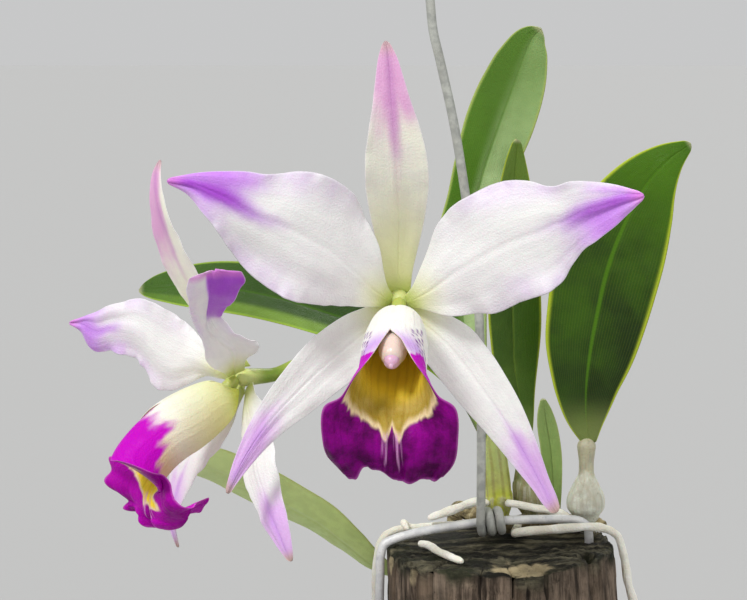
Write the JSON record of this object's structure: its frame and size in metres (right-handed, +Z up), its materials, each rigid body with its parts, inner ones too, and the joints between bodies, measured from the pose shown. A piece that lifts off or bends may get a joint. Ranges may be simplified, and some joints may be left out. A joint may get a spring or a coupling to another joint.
{
  "type": "cattleya orchid",
  "caption": "Flowering cattleya orchid wired to the top of an upright weathered log section, with bare aerial roots and a wire hanger that ends in an open hook.",
  "frame": {"origin": "centre of the log's sawn base, on the surface it stands on", "axes": "+Z up along the log; the large flower faces -Y; +X to its viewer's right"},
  "size_m": [0.1455, 0.1049, 0.282],
  "materials": {
    "log_wood": "weathered, cracked, mossy end grain",
    "galvanised_wire": "dull zinc",
    "rhizome_skin": "ringed, dry sheaths",
    "bulb_skin": "ribbed, thin papery skin",
    "leaf_green": "thick, waxy, paler along the edge",
    "stalk_green": "smooth, waxy",
    "white_tepal": "soft, velvety, violet at the tips",
    "magenta_lip": "velvety, yellow in the throat",
    "column_cream": "smooth, waxy",
    "root_skin": "matt, spongy, cream"
  },
  "bodies": {
    "root": {"log": "log_wood", "wire_tie": "galvanised_wire", "wire_hanger": "galvanised_wire", "rhizome": "rhizome_skin", "pseudobulb_1": "bulb_skin", "pseudobulb_2": "bulb_skin", "pseudobulb_3": "bulb_skin", "pseudobulb_4": "bulb_skin", "pseudobulb_5": "bulb_skin", "leaf_a": "leaf_green", "leaf_b": "leaf_green", "leaf_c": "leaf_green", "leaf_d": "leaf_green", "leaf_e": "leaf_green", "leaf_young": "leaf_green", "flower_stalk": "stalk_green", "flower_sheath": "stalk_green", "flower_1_dorsal_sepal": "white_tepal", "flower_1_petal_left": "white_tepal", "flower_1_petal_right": "white_tepal", "flower_1_lateral_sepal_left": "white_tepal", "flower_1_lateral_sepal_right": "white_tepal", "flower_1_lip": "magenta_lip", "flower_1_column": "column_cream", "flower_1_anther_cap": "column_cream", "flower_2_dorsal_sepal": "white_tepal", "flower_2_petal_left": "white_tepal", "flower_2_petal_right": "white_tepal", "flower_2_lateral_sepal_left": "white_tepal", "flower_2_lateral_sepal_right": "white_tepal", "flower_2_lip": "magenta_lip", "flower_2_column": "column_cream", "flower_2_anther_cap": "column_cream", "root_1": "root_skin", "root_2": "root_skin", "root_3": "root_skin", "root_4": "root_skin", "root_5": "root_skin", "root_6": "root_skin", "root_7": "root_skin"}
  },
  "joints": []
}
